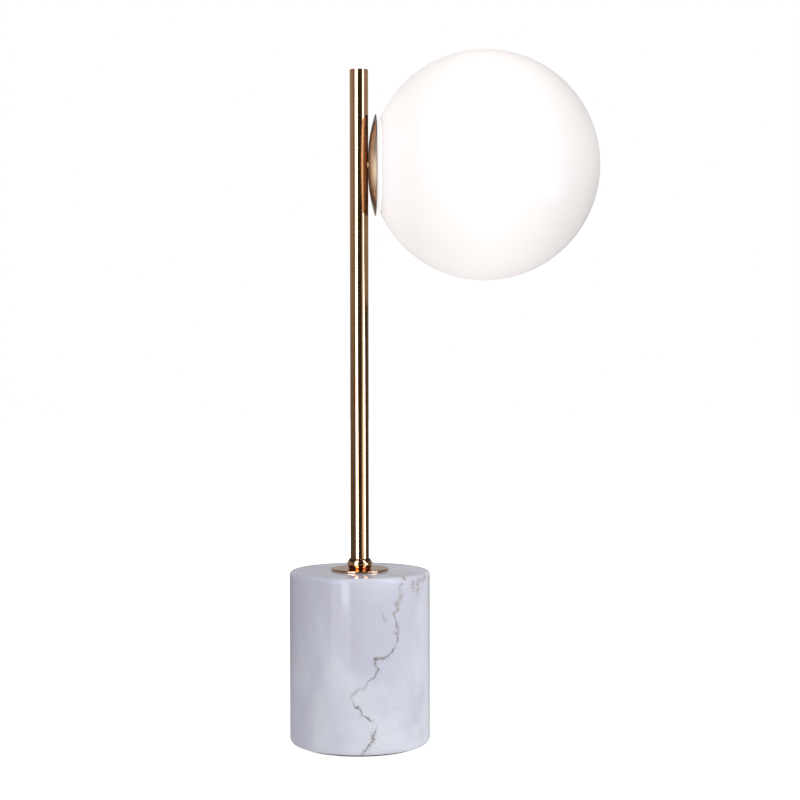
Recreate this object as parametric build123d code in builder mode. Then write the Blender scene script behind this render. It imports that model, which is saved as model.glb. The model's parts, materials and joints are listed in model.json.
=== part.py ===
from build123d import *

# Glass globe table lamp: a marble drum, a brass post and an opal globe held sideways on a shallow brass dish.
#
# Millimetres. The origin is the middle of the underside of the foot pad, +Z is up the post, +X points from the
# post to the globe, and +Y is the rear, where the supply cord enters the marble.
# The globe pulls off its three spring clips along +X, and the bulb pulls out of its holder the same way.

import os
from math import asin, cos, degrees, pi, radians, sin, tan

# ---------------------------------------------------------------- driving dimensions

# base
pad_radius = 52.0
pad_thickness = 2.0
marble_radius = 61.0
marble_height = 150.0
marble_top_edge = 3.5
marble_bottom_edge = 5.0
rod_hole_radius = 5.6
cavity_radius = 32.0
cavity_depth = 32.0
lid_radius = 37.3
lid_thickness = 1.6
lid_skirt_height = 6.5

# cord inlet, through the rear wall of the marble
inlet_height = 19.0
inlet_sleeve_radius = 4.9
inlet_bore_radius = 3.6
inlet_flange_radius = 7.2
inlet_flange_thickness = 2.0
inlet_spotface_depth = 1.4

# hollow clamping rod
rod_radius = 5.0
rod_bore_radius = 3.5
rod_bottom = 23.5
rod_engagement = 16.0

# post and its foot
flange_radius = 25.1
flange_thickness = 1.4
flange_gasket_thickness = 0.4
collar_radius = 10.8
collar_height = 8.8
collar_bulge_height = 4.0
collar_top_radius = 8.5
collar_foot_radius = 9.1
post_radius = 8.0
post_wall = 1.2
post_top = 587.0
post_seat_depth = 1.6
cap_thickness = 1.0
bush_length = 18.0

# head
head_height = 504.5
globe_radius = 100.0
glass_thickness = 3.0
globe_offset = 109.5
mouth_plane = 18.3
dish_radius = 44.0
dish_hub_radius = 8.5
dish_back = 8.1
dish_rim = 14.0
dish_wall = 0.8
nipple_radius = 4.0
nipple_bore_radius = 2.75
nipple_inner_end = 4.0
nipple_outer_end = 15.6
carrier_front = 14.5
carrier_wall = 1.0
carrier_radius = 37.5
gasket_inner_radius = 33.6
gasket_outer_radius = 38.5
spring_width = 7.0
spring_thickness = 0.5
spring_angles = (0, 120, 240)

# lamp holder, with two contacts 9 mm apart
pin_spacing = 9.0
bridge_front = 24.0
bridge_width = 14.0
bridge_wall = 1.0
holder_length = 17.0
holder_ear_thickness = 4.0
holder_screw_spacing = 21.0
recess_depth = 5.0

# bulb
bulb_length = 48.0
bulb_radius = 8.0
pin_length = 7.8

# wiring
lead_radius = 1.0
lead_offset = 1.15
pole_spacing = 10.0

# clearances
slip = 0.05
thread_clearance = 0.03

# ---------------------------------------------------------------- places worked out from them

marble_bottom = pad_thickness
marble_top = marble_bottom + marble_height
cavity_floor = marble_bottom + lid_thickness
cavity_ceiling = marble_bottom + cavity_depth
flange_bottom = marble_top + flange_gasket_thickness
flange_top = flange_bottom + flange_thickness
collar_top = flange_top + collar_height
post_bottom = collar_top - post_seat_depth
post_end = post_top - cap_thickness
post_bore_radius = post_radius - post_wall
rod_top = post_bottom + rod_engagement
holder_front = bridge_front + holder_length
bulb_foot = holder_front - recess_depth + 0.3

head_axis = Axis((0, 0, head_height), (1, 0, 0))
head_plane = Plane(origin=(0, 0, head_height), x_dir=(1, 0, 0), z_dir=(0, -1, 0))


def radial_plane(angle):
    """Sketch plane through the globe's axis: first axis +X, second axis outwards, angle from +Y towards +Z."""
    c, s = cos(radians(angle)), sin(radians(angle))
    return Plane(origin=(0, 0, head_height), x_dir=(1, 0, 0), z_dir=(0, -s, c))


def across_head(x, y=0.0, z=0.0):
    """Plane square to the globe's axis, at x from the post's axis, facing the globe."""
    return Plane(origin=(x, y, head_height + z), x_dir=(0, 1, 0), z_dir=(1, 0, 0))


# The next five functions add a standard piece to the part under construction.


def ring(plane, outer, inner, height):
    """A plain ring or tube that stands on a plane."""
    with BuildSketch(plane) as section:
        Circle(outer)
        Circle(inner, mode=Mode.SUBTRACT)
    extrude(section.sketch, amount=height)


def hex_nut(plane, across_flats, bore, height):
    """A hexagon nut with its corners turned down."""
    with BuildSketch(plane) as section:
        RegularPolygon(across_flats / 2, 6, major_radius=False)
        Circle(across_flats / 2 * 1.1, mode=Mode.INTERSECT)
        Circle(bore, mode=Mode.SUBTRACT)
    extrude(section.sketch, amount=height)


def toothed_washer(plane, outer, bore, thickness, teeth=10):
    """A lock washer with a ring of outer teeth."""
    with BuildSketch(plane) as section:
        Circle(outer)
        Circle(bore, mode=Mode.SUBTRACT)
        with PolarLocations(outer, teeth):
            Rectangle(0.8 * (outer - bore), 0.2 * outer, mode=Mode.SUBTRACT)
    extrude(section.sketch, amount=thickness)


def screw(seat, shank, length, head, rise, slot=0.7):
    """A slotted pan-head screw: the head stands on the seat and the shank goes below it."""
    side = Plane(origin=seat.origin, x_dir=seat.x_dir, z_dir=seat.x_dir.cross(seat.z_dir))
    with BuildSketch(side) as half:
        with BuildLine():
            dome = ThreePointArc((head, 0.4 * rise), (0.86 * head, 0.82 * rise), (0.5 * head, rise))
            Polyline(
                dome @ 1, (0, rise), (0, -length), (shank, -length), (shank, 0), (head, 0), dome @ 0
            )
        make_face()
    revolve(half.sketch, axis=Axis(seat.origin, seat.z_dir))
    with BuildSketch(seat.offset(rise)) as groove:
        Rectangle(2.2 * head, slot)
    extrude(groove.sketch, amount=-0.5 * rise, mode=Mode.SUBTRACT)


def lead(route, tightest=None):
    """An insulated lead: a round section swept along straight runs joined by arcs as large as the runs allow.

    tightest gives, for a corner's number, a smaller radius where the lead turns into a bore.
    """
    points = [Vector(*p) for p in route]
    runs = [b - a for a, b in zip(points, points[1:])]
    bends = []
    for corner, (run, next_run) in enumerate(zip(runs, runs[1:])):
        half_turn = radians(run.get_angle(next_run)) / 2
        widest = 0.45 * min(run.length, next_run.length) / tan(half_turn)
        bends.append(min(widest, (tightest or {}).get(corner, widest)))
    with BuildLine() as path:
        FilletPolyline(*points, radius=bends)
    with BuildSketch(Plane(origin=points[0], z_dir=runs[0])) as section:
        Circle(lead_radius)
    sweep(section.sketch, path=path.line)
    print("  bends", [round(bend, 1) for bend in bends], "section times length", end=" ")
    print(round(pi * lead_radius**2 * sum(edge.length for edge in path.edges()), 1))


# ---------------------------------------------------------------- base

# Felt disc that the lamp stands on. It hides the lid.
with BuildPart() as foot_pad:
    with BuildSketch():
        Circle(pad_radius)
    extrude(amount=pad_thickness)

# Solid marble drum, bored for the rod and hollowed underneath for the wiring.
inlet_plane = Plane(origin=(0, marble_radius + 1, inlet_height), x_dir=(-1, 0, 0), z_dir=(0, 1, 0))
with BuildPart() as marble_base:
    with BuildSketch(Plane.XY.offset(marble_bottom)):
        Circle(marble_radius)
    extrude(amount=marble_height)
    fillet(marble_base.edges().group_by(Axis.Z)[-1], marble_top_edge)
    fillet(marble_base.edges().group_by(Axis.Z)[0], marble_bottom_edge)
    with BuildSketch(Plane.XY.offset(marble_bottom)):
        Circle(cavity_radius)
    extrude(amount=cavity_depth, mode=Mode.SUBTRACT)
    with BuildSketch(Plane.XY.offset(marble_bottom)):
        Circle(lid_radius + 0.2)
    extrude(amount=lid_thickness, mode=Mode.SUBTRACT)
    with BuildSketch(Plane.XY.offset(marble_bottom)):
        Circle(rod_hole_radius)
    extrude(amount=marble_height, mode=Mode.SUBTRACT)
    with BuildSketch(inlet_plane):
        Circle(inlet_sleeve_radius + slip)
    extrude(amount=-(marble_radius + 1 - cavity_radius / 2), mode=Mode.SUBTRACT)
    with BuildSketch(inlet_plane):
        Circle(inlet_flange_radius + 0.3)
    extrude(amount=-(1 + inlet_spotface_depth), mode=Mode.SUBTRACT)

# Push-in lid of the wiring space, with a skirt that grips the wall and two pillars for the terminal block.
pillar_height = 3.0
pillar_places = ((-pole_spacing / 2, 0), (pole_spacing / 2, 0))
with BuildPart() as base_lid:
    with BuildSketch(Plane.XY.offset(marble_bottom)):
        Circle(lid_radius)
    extrude(amount=lid_thickness)
    with BuildSketch(Plane.XY.offset(cavity_floor)):
        Circle(cavity_radius - slip)
        Circle(cavity_radius - 1.8, mode=Mode.SUBTRACT)
    extrude(amount=lid_skirt_height)
    with BuildSketch(Plane.XY.offset(cavity_floor)):
        with Locations(*pillar_places):
            Circle(3.0)
    extrude(amount=pillar_height)
    with BuildSketch(Plane.XY.offset(cavity_floor + pillar_height)):
        with Locations(*pillar_places):
            Circle(1.3)
    extrude(amount=-pillar_height, mode=Mode.SUBTRACT)

# Flanged bush that lines the cord hole in the rear wall of the marble.
bush_seat = marble_radius - inlet_spotface_depth
bush_end_depth = bush_seat - cavity_radius - 1.0
bush_plane = Plane(origin=(0, bush_seat, inlet_height), x_dir=(-1, 0, 0), z_dir=(0, 1, 0))
with BuildPart() as cord_inlet_bush:
    with BuildSketch(bush_plane):
        Circle(inlet_flange_radius)
    extrude(amount=inlet_flange_thickness)
    fillet(cord_inlet_bush.edges().group_by(Axis.Y)[-1], 0.8)
    with BuildSketch(bush_plane):
        Circle(inlet_sleeve_radius)
    extrude(amount=-bush_end_depth)
    with BuildSketch(bush_plane.offset(inlet_flange_thickness)):
        Circle(inlet_bore_radius)
    extrude(amount=-(inlet_flange_thickness + bush_end_depth), mode=Mode.SUBTRACT)

# Three-pole terminal block: nylon body, brass sleeves along Y, and two clamp screws in each sleeve.
block_bottom = cavity_floor + pillar_height
block_height = 9.0
block_top = block_bottom + block_height
turret_height = 2.6
block_depth = 16.0
pole_height = block_bottom + 4.5
pole_x = (-pole_spacing, 0.0, pole_spacing)
clamp_y = (-4.2, 4.2)
turrets = [(x, y) for x in pole_x for y in clamp_y]
pole_planes = [
    Plane(origin=(x, -block_depth / 2, pole_height), x_dir=(-1, 0, 0), z_dir=(0, 1, 0)) for x in pole_x
]
with BuildPart() as terminal_body:
    with BuildSketch(Plane.XY.offset(block_bottom)):
        with GridLocations(pole_spacing, 0, 3, 1):
            RectangleRounded(9.4, block_depth, 1.2)
        with Locations(*pillar_places):
            Rectangle(2.4, block_depth * 0.5)
    extrude(amount=block_height)
    with BuildSketch(Plane.XY.offset(block_top)):
        with Locations(*turrets):
            Circle(2.9)
    extrude(amount=turret_height)
    for pole_plane in pole_planes:
        with BuildSketch(pole_plane):
            Circle(2.4)
        extrude(amount=block_depth, mode=Mode.SUBTRACT)
    with BuildSketch(Plane.XY.offset(pole_height)):
        with Locations(*turrets):
            Circle(1.75)
    extrude(amount=block_height + turret_height, mode=Mode.SUBTRACT)
    with BuildSketch(Plane.XY.offset(block_bottom)):
        with Locations(*pillar_places):
            Circle(1.55)
    extrude(amount=block_height, mode=Mode.SUBTRACT)

sleeve_bore_radius = 1.5
with BuildPart() as terminal_sleeves:
    for pole_plane in pole_planes:
        ring(pole_plane.offset(0.6), 2.35, sleeve_bore_radius, block_depth - 1.2)
    with BuildSketch(Plane.XY.offset(pole_height)):
        with Locations(*turrets):
            Circle(1.42)
    extrude(amount=3.0, mode=Mode.SUBTRACT)

# The clamp screws stop on the leads.
screw_tip = pole_height + lead_radius + slip
screw_top = block_top + 1.2
with BuildPart() as terminal_screws:
    with BuildSketch(Plane.XY.offset(screw_tip)):
        with Locations(*turrets):
            Circle(1.38)
    extrude(amount=screw_top - screw_tip)
    with BuildSketch(Plane.XY.offset(screw_top)):
        with Locations(*turrets):
            Rectangle(3.2, 0.6)
    extrude(amount=-0.9, mode=Mode.SUBTRACT)

with BuildPart() as terminal_fixings:
    for x, y in pillar_places:
        screw(Plane(origin=(x, y, block_top)), 1.25, block_height + 2.4, 2.1, 1.3)

# Stack under the marble: fibre washer, steel washer, earth tag, lock washer and nut on the rod.
washer_radius = 20.0
fibre_thickness = 1.0
clamp_thickness = 2.0
tag_thickness = 0.8
rod_lock_thickness = 0.8
rod_nut_height = 4.0
fibre_bottom = cavity_ceiling - fibre_thickness
clamp_bottom = fibre_bottom - clamp_thickness
tag_bottom = clamp_bottom - tag_thickness
lock_bottom = tag_bottom - rod_lock_thickness
nut_bottom = lock_bottom - rod_nut_height

with BuildPart() as fibre_washer:
    ring(Plane.XY.offset(fibre_bottom), washer_radius, rod_radius + 0.4, fibre_thickness)
with BuildPart() as clamp_washer:
    ring(Plane.XY.offset(clamp_bottom), washer_radius, rod_radius + 0.25, clamp_thickness)
    chamfer(clamp_washer.edges().group_by(Axis.Z)[0].sort_by(SortBy.RADIUS)[-1], 0.4)

barrel_start = -14.0
barrel_end = -20.0
strip_end = -16.0
barrel_height = tag_bottom - 1.6
barrel_plane = Plane(origin=(0, barrel_start, barrel_height), x_dir=(1, 0, 0), z_dir=(0, -1, 0))
with BuildPart() as earth_tag:
    with BuildSketch(Plane.XY.offset(tag_bottom)):
        Circle(9.0)
        with Locations((0, strip_end / 2)):
            Rectangle(4.4, -strip_end)
        Circle(rod_radius + 0.25, mode=Mode.SUBTRACT)
    extrude(amount=tag_thickness)
    with BuildSketch(barrel_plane):
        Circle(2.0)
    extrude(amount=barrel_start - barrel_end)
    with BuildSketch(barrel_plane):
        Circle(lead_radius + slip)
    extrude(amount=barrel_start - barrel_end, mode=Mode.SUBTRACT)

with BuildPart() as rod_lock_washer:
    toothed_washer(Plane.XY.offset(lock_bottom), 9.0, rod_radius + 0.25, rod_lock_thickness)
with BuildPart() as rod_nut:
    hex_nut(Plane.XY.offset(nut_bottom), 15.0, rod_radius + thread_clearance, rod_nut_height)

# Hollow rod that pulls the post, collar and flange down on the marble, and carries the leads.
with BuildPart() as tie_rod:
    ring(Plane.XY.offset(rod_bottom), rod_radius, rod_bore_radius, rod_top - rod_bottom)
    chamfer(tie_rod.edges().filter_by(GeomType.CIRCLE).sort_by(SortBy.RADIUS)[-2:], 0.5)

# ---------------------------------------------------------------- post

with BuildPart() as flange_gasket:
    ring(Plane.XY.offset(marble_top), flange_radius - 1.5, rod_radius + 0.4, flange_gasket_thickness)

# Thin brass rosette under the collar, its upper edge rounded.
with BuildPart() as base_flange:
    ring(Plane.XY.offset(flange_bottom), flange_radius, rod_radius + 0.15, flange_thickness)
    fillet(base_flange.edges().group_by(Axis.Z)[-1].sort_by(SortBy.RADIUS)[-1], 0.7)

# Turned brass ball, flattened top and bottom, with a seat for the post.
with BuildPart() as ball_collar:
    with BuildSketch(Plane.XZ):
        with BuildLine():
            foot = (collar_foot_radius, flange_top)
            bulge = (collar_radius, flange_top + collar_bulge_height)
            crown = (collar_top_radius, collar_top)
            ThreePointArc(foot, bulge, crown)
            Polyline(crown, (rod_radius + 0.15, collar_top), (rod_radius + 0.15, flange_top), foot)
        make_face()
    revolve(axis=Axis.Z)
    with BuildSketch(Plane.XY.offset(collar_top)):
        Circle(post_radius + slip)
    extrude(amount=-post_seat_depth, mode=Mode.SUBTRACT)

# Polished tube with the side hole for the head's nipple.
with BuildPart() as post_tube:
    ring(Plane.XY.offset(post_bottom), post_radius, post_bore_radius, post_end - post_bottom)
    with BuildSketch(across_head(0)):
        Circle(nipple_radius + slip)
    extrude(amount=post_radius + 1, mode=Mode.SUBTRACT)

# Threaded bush brazed into the foot of the tube.
with BuildPart() as post_bush:
    ring(Plane.XY.offset(post_bottom), post_bore_radius - slip, rod_radius + thread_clearance, bush_length)

# Elbow brazed inside the tube: the leads come up its middle and turn into the nipple.
elbow_bottom = head_height - 13.0
elbow_top = head_height + 8.0
with BuildPart() as elbow_insert:
    with BuildSketch(Plane.XY.offset(elbow_bottom)):
        Circle(post_bore_radius - slip)
    extrude(amount=elbow_top - elbow_bottom)
    with BuildSketch(Plane.XY.offset(elbow_bottom)):
        Circle(rod_bore_radius)
    extrude(amount=head_height - elbow_bottom, mode=Mode.SUBTRACT)
    with Locations((0, 0, head_height)):
        Sphere(rod_bore_radius, mode=Mode.SUBTRACT)
    with BuildSketch(across_head(nipple_inner_end - slip)):
        Circle(nipple_radius + thread_clearance)
    extrude(amount=post_radius, mode=Mode.SUBTRACT)
    with BuildSketch(across_head(0)):
        Circle(nipple_bore_radius)
    extrude(amount=nipple_inner_end, mode=Mode.SUBTRACT)

# Cap that closes the top of the tube.
with BuildPart() as post_cap:
    with BuildSketch(Plane.XY.offset(post_end)):
        Circle(post_radius)
    extrude(amount=cap_thickness)
    chamfer(post_cap.edges().group_by(Axis.Z)[-1], 0.25)
    with BuildSketch(Plane.XY.offset(post_end)):
        Circle(post_bore_radius - slip)
    extrude(amount=-5.0)

# ---------------------------------------------------------------- head: dish, carrier and clips

with BuildPart() as side_nipple:
    ring(across_head(nipple_inner_end), nipple_radius, nipple_bore_radius, nipple_outer_end - nipple_inner_end)
    chamfer(side_nipple.edges().group_by(Axis.X)[-1].sort_by(SortBy.RADIUS)[-1], 0.4)

# Shallow spun dish, an even wall thick: a flat hub against the tube, and an arc that leaves it smoothly and rises
# to the rim.
dish_rise = dish_rim - dish_back
dish_reach = dish_radius - dish_hub_radius
dish_curve = (dish_reach**2 + dish_rise**2) / (2 * dish_rise)
dish_sweep = degrees(asin(dish_reach / dish_curve))
dish_bore = nipple_radius + 0.1
with BuildPart() as dish:
    with BuildSketch(head_plane):
        with BuildLine():
            curve_centre = (dish_back + dish_curve, dish_hub_radius)
            back = CenterArc(curve_centre, dish_curve, 180, -dish_sweep)
            face = CenterArc(curve_centre, dish_curve - dish_wall, 180, -dish_sweep)
            Line(back @ 1, face @ 1)
            Polyline(back @ 0, (dish_back, dish_bore), (dish_back + dish_wall, dish_bore), face @ 0)
        make_face()
    revolve(axis=head_axis)

# Pressed steel pan inside the dish. The nipple's nut clamps its hub; its flange carries the clips and the bridge.
rivet_ring = 27.0
rivet_radius = 1.2
rivet_places = [(rivet_ring * cos(radians(a)), rivet_ring * sin(radians(a))) for a in spring_angles]
bridge_screw_ring = 23.5
bridge_screw_places = [(0, bridge_screw_ring), (0, -bridge_screw_ring)]
holder_screw_places = [(0, holder_screw_spacing / 2), (0, -holder_screw_spacing / 2)]
small_screw_radius = 1.45
hub_radius = 8.3
cone_radius = 18.6
carrier_back = dish_back + dish_wall
flange_back = carrier_front - carrier_wall
with BuildPart() as spring_carrier:
    with BuildSketch(head_plane):
        with BuildLine():
            Polyline(
                (carrier_back, dish_bore),
                (carrier_back, hub_radius),
                (flange_back, cone_radius),
                (flange_back, carrier_radius),
                (carrier_front, carrier_radius),
                (carrier_front, cone_radius - 0.6),
                (carrier_back + carrier_wall, hub_radius - 0.6),
                (carrier_back + carrier_wall, dish_bore),
                close=True,
            )
        make_face()
    revolve(axis=head_axis)
    with BuildSketch(across_head(0)):
        with Locations(*rivet_places):
            Circle(rivet_radius + 0.02)
        with Locations(*bridge_screw_places):
            Circle(small_screw_radius + slip)
    extrude(amount=carrier_front + 1.0, mode=Mode.SUBTRACT)

hub_front = carrier_back + carrier_wall
nipple_washer_thickness = 0.7
with BuildPart() as nipple_lock_washer:
    toothed_washer(across_head(hub_front), 6.9, nipple_radius + 0.15, nipple_washer_thickness)
with BuildPart() as nipple_nut:
    hex_nut(across_head(hub_front + nipple_washer_thickness), 12.0, nipple_radius + thread_clearance, 3.5)

# Three leaf springs. Each lies on the carrier's flange, turns forward through the globe's mouth and hooks its edge.
spring_route = (
    (carrier_front, 24.0),
    (carrier_front, 31.4),
    (17.3, 31.9),
    (21.6, 35.8),
    (30.0, 28.4),
    (32.0, 28.2),
)
spring_bends = (0.5, 0.9, 1.8, 1.0)
with BuildPart() as globe_springs:
    for angle in spring_angles:
        with BuildSketch(radial_plane(angle)):
            with BuildLine():
                FilletPolyline(*spring_route, radius=spring_bends)
                offset(amount=spring_thickness, side=Side.RIGHT)
            make_face()
        extrude(amount=spring_width / 2, both=True)
    with BuildSketch(across_head(0)):
        with Locations(*rivet_places):
            Circle(rivet_radius + 0.02)
    extrude(amount=carrier_front + 1.0, mode=Mode.SUBTRACT)

rivet_head_radius = 2.1
rivet_head_height = 0.9
with BuildPart() as spring_rivets:
    for y, z in rivet_places:
        with BuildSketch(across_head(flange_back, y, z)):
            Circle(rivet_radius)
        extrude(amount=carrier_wall + spring_thickness)
        with BuildSketch(across_head(flange_back, y, z)):
            Circle(rivet_head_radius)
        extrude(amount=-rivet_head_height)
        with BuildSketch(across_head(carrier_front + spring_thickness, y, z)):
            Circle(rivet_head_radius)
        extrude(amount=rivet_head_height)
    fillet(spring_rivets.edges().group_by(Axis.X)[-1], 0.5)

# White silicone ring that the ground edge of the glass seats on.
with BuildPart() as globe_gasket:
    ring(
        across_head(carrier_front), gasket_outer_radius, gasket_inner_radius, mouth_plane - 0.1 - carrier_front
    )

# ---------------------------------------------------------------- head: lamp holder

# Hat-shaped strap that stands over the nipple's nut and carries the holder.
bridge_route = (
    (carrier_front, -27.0),
    (carrier_front, -19.5),
    (bridge_front - bridge_wall, -16.0),
    (bridge_front - bridge_wall, 16.0),
    (carrier_front, 19.5),
    (carrier_front, 27.0),
)
with BuildPart() as holder_bridge:
    with BuildSketch(head_plane):
        with BuildLine():
            FilletPolyline(*bridge_route, radius=1.2)
            offset(amount=bridge_wall, side=Side.RIGHT)
        make_face()
    extrude(amount=bridge_width / 2, both=True)
    with BuildSketch(across_head(0)):
        with Locations(*bridge_screw_places, *holder_screw_places):
            Circle(small_screw_radius + slip)
        SlotOverall(10.8, 3.2)
    extrude(amount=bridge_front + 1, mode=Mode.SUBTRACT)

small_nut_flats = 5.5
small_nut_height = 2.2
with BuildPart() as bridge_screws:
    for y, z in bridge_screw_places:
        screw(across_head(carrier_front + bridge_wall, y, z), small_screw_radius, 5.0, 2.6, 1.6)
with BuildPart() as bridge_nuts:
    for y, z in bridge_screw_places:
        nut_plane = across_head(flange_back - small_nut_height, y, z)
        hex_nut(nut_plane, small_nut_flats, small_screw_radius + thread_clearance, small_nut_height)

# Glazed ceramic holder: ears for two screws, a recess for the bulb's foot and a slot for each contact.
slot_bottom = bridge_front + 3.6
contact_y = (-pin_spacing / 2, pin_spacing / 2)
wire_entry = 4.0
with BuildPart() as holder_body:
    with BuildSketch(across_head(bridge_front)):
        RectangleRounded(13.0, 28.0, 6.0)
    extrude(amount=holder_ear_thickness)
    with BuildSketch(across_head(bridge_front)):
        RectangleRounded(20.0, 13.0, 3.0)
    extrude(amount=holder_length)
    fillet(holder_body.edges().group_by(Axis.X)[-1], 1.0)
    with BuildSketch(across_head(holder_front)):
        RectangleRounded(15.6, 8.6, 1.5)
    extrude(amount=-recess_depth, mode=Mode.SUBTRACT)
    with BuildSketch(across_head(holder_front - recess_depth)):
        with Locations(*[(y, 0) for y in contact_y]):
            Rectangle(2.6, 5.6)
    extrude(amount=-(holder_front - recess_depth - slot_bottom), mode=Mode.SUBTRACT)
    with BuildSketch(across_head(bridge_front)):
        with Locations(*holder_screw_places):
            Circle(small_screw_radius + 0.1)
    extrude(amount=holder_ear_thickness, mode=Mode.SUBTRACT)
    with BuildSketch(across_head(bridge_front)):
        with Locations((-wire_entry, 0), (wire_entry, 0)):
            Circle(lead_radius + slip)
    extrude(amount=slot_bottom - bridge_front, mode=Mode.SUBTRACT)

# Folded spring-bronze contacts, one in each slot, open towards the bulb.
contact_wall = 0.4
contact_gap = 1.1
contact_front = holder_front - recess_depth - 0.6
with BuildPart() as holder_contacts:
    for y in contact_y:
        with BuildSketch(across_head(slot_bottom, y)):
            Rectangle(contact_gap + 2 * contact_wall, 5.2)
        extrude(amount=contact_front - slot_bottom)
        with BuildSketch(across_head(slot_bottom + contact_wall, y)):
            Rectangle(contact_gap, 5.2)
        extrude(amount=contact_front - slot_bottom, mode=Mode.SUBTRACT)

with BuildPart() as holder_screws:
    for y, z in holder_screw_places:
        ear_face = across_head(bridge_front + holder_ear_thickness, y, z)
        screw(ear_face, small_screw_radius, 8.0, 2.4, 1.5)
with BuildPart() as holder_nuts:
    for y, z in holder_screw_places:
        nut_plane = across_head(bridge_front - bridge_wall - small_nut_height, y, z)
        hex_nut(nut_plane, small_nut_flats, small_screw_radius + thread_clearance, small_nut_height)

# ---------------------------------------------------------------- leads

# The two lamp leads run side by side: out of the block, up the rod, a quarter turn about each other in the wide
# tube, then through the elbow and the nipple to the back of the holder. Two corners are held tight, where they
# turn up into the rod and where they turn along the nipple.
lead_drop = -17.0
lead_level = 20.9
twist_offset = 1.75
rod_entry_bend = 3.2
elbow_bend = 4.0


def lamp_lead_route(side):
    """side is +1 for the lead from the block's +X pole, and -1 for the other one, half a turn round."""
    x, near, wide, entry = side * pole_spacing, side * lead_offset, side * twist_offset, side * wire_entry
    return (
        (x, -4.0, pole_height),
        (x, lead_drop, pole_height),
        (x, lead_drop, lead_level),
        (near, 0, lead_level),
        (near, 0, rod_top + 6),
        (wide, 0, rod_top + 36),
        (0, -wide, rod_top + 126),
        (0, -near, elbow_bottom - 30),
        (0, -near, head_height),
        (nipple_outer_end + 0.8, -near, head_height),
        (bridge_front - 3.2, -entry, head_height),
        (slot_bottom - 0.02, -entry, head_height),
    )


with BuildPart() as lead_live:
    lead(lamp_lead_route(1), tightest={2: rod_entry_bend, 7: elbow_bend})
with BuildPart() as lead_neutral:
    lead(lamp_lead_route(-1), tightest={2: rod_entry_bend, 7: elbow_bend})
with BuildPart() as lead_earth:
    lead(
        (
            (0, barrel_start - 1.0, barrel_height),
            (0, -27.0, barrel_height),
            (0, -27.5, pole_height),
            (0, -4.0, pole_height),
        )
    )

# ---------------------------------------------------------------- globe

# Blown opal sphere, cut flat across its mouth and ground there.
inner_radius = globe_radius - glass_thickness
mouth_reach = globe_offset - mouth_plane
with BuildPart() as globe:
    with BuildSketch(head_plane):
        with BuildLine():
            outside = CenterArc((globe_offset, 0), globe_radius, 0, 90 + degrees(asin(mouth_reach / globe_radius)))
            inside = CenterArc((globe_offset, 0), inner_radius, 0, 90 + degrees(asin(mouth_reach / inner_radius)))
            Line(outside @ 0, inside @ 0)
            Line(outside @ 1, inside @ 1)
        make_face()
    revolve(axis=head_axis)
    fillet(globe.edges().group_by(Axis.X)[0], 0.6)

# ---------------------------------------------------------------- bulb

# Plug-in LED bulb: foot and skirt, two wire-loop pins, a lit core of small chips and a clear cover.
skirt_start = bulb_foot + 5.4
skirt_end = bulb_foot + 17.0
bulb_end = bulb_foot + bulb_length
cover_wall = 0.9
cover_lap = 3.0
with BuildPart() as bulb_base:
    with BuildSketch(across_head(bulb_foot)):
        RectangleRounded(15.0, 8.0, 1.2)
    extrude(amount=skirt_start - bulb_foot)
    with BuildSketch(head_plane):
        with BuildLine():
            Polyline(
                (skirt_start, 0),
                (skirt_start, bulb_radius - 0.9),
                (skirt_start + 1.2, bulb_radius),
                (skirt_end, bulb_radius),
                (skirt_end, 0),
                close=True,
            )
        make_face()
    revolve(axis=head_axis)
    with BuildSketch(across_head(skirt_end)):
        Circle(bulb_radius + 1)
        Circle(bulb_radius - cover_wall - slip, mode=Mode.SUBTRACT)
    extrude(amount=-cover_lap, mode=Mode.SUBTRACT)

pin_radius = 0.4
pin_half_width = 1.1
pin_bottom = head_height - pin_half_width
pin_top = head_height + pin_half_width
pin_turn = bulb_foot - pin_length + pin_half_width
with BuildPart() as bulb_pins:
    for y in contact_y:
        with BuildLine() as loop:
            leg = Line((bulb_foot, y, pin_bottom), (pin_turn, y, pin_bottom))
            bend = ThreePointArc(leg @ 1, (pin_turn - pin_half_width, y, head_height), (pin_turn, y, pin_top))
            Line(bend @ 1, (bulb_foot, y, pin_top))
        with BuildSketch(Plane(origin=(bulb_foot, y, pin_bottom), z_dir=(-1, 0, 0))):
            Circle(pin_radius)
        sweep(path=loop.line)

core_radius = 4.6
core_end = bulb_end - 7.0
with BuildPart() as led_core:
    with BuildSketch(across_head(skirt_end)):
        RegularPolygon(core_radius, 6)
    extrude(amount=core_end - skirt_end)

chip_length = 3.2
chip_width = 1.8
chip_height = 0.6
chip_rows = 4
chip_pitch = (core_end - skirt_end - 2.4) / chip_rows
core_flat = core_radius * cos(radians(30))
with BuildPart() as led_chips:
    for face_angle in range(30, 360, 60):
        c, s = cos(radians(face_angle)), sin(radians(face_angle))
        for row in range(chip_rows):
            x = skirt_end + 1.2 + chip_pitch * (row + 0.5)
            chip_origin = (x, core_flat * c, head_height + core_flat * s)
            with BuildSketch(Plane(origin=chip_origin, x_dir=(1, 0, 0), z_dir=(0, c, s))):
                Rectangle(chip_length, chip_width)
            extrude(amount=chip_height)

cover_start = skirt_end - cover_lap + slip
dome_start = bulb_end - bulb_radius
with BuildPart() as bulb_cover:
    with BuildSketch(head_plane):
        with BuildLine():
            outer_dome = CenterArc((dome_start, 0), bulb_radius, 0, 90)
            inner_dome = CenterArc((dome_start, 0), bulb_radius - cover_wall, 0, 90)
            Line(outer_dome @ 0, inner_dome @ 0)
            Polyline(
                outer_dome @ 1,
                (cover_start, bulb_radius),
                (cover_start, bulb_radius - cover_wall),
                inner_dome @ 1,
            )
        make_face()
    revolve(axis=head_axis)

# ---------------------------------------------------------------- write the parts

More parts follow.
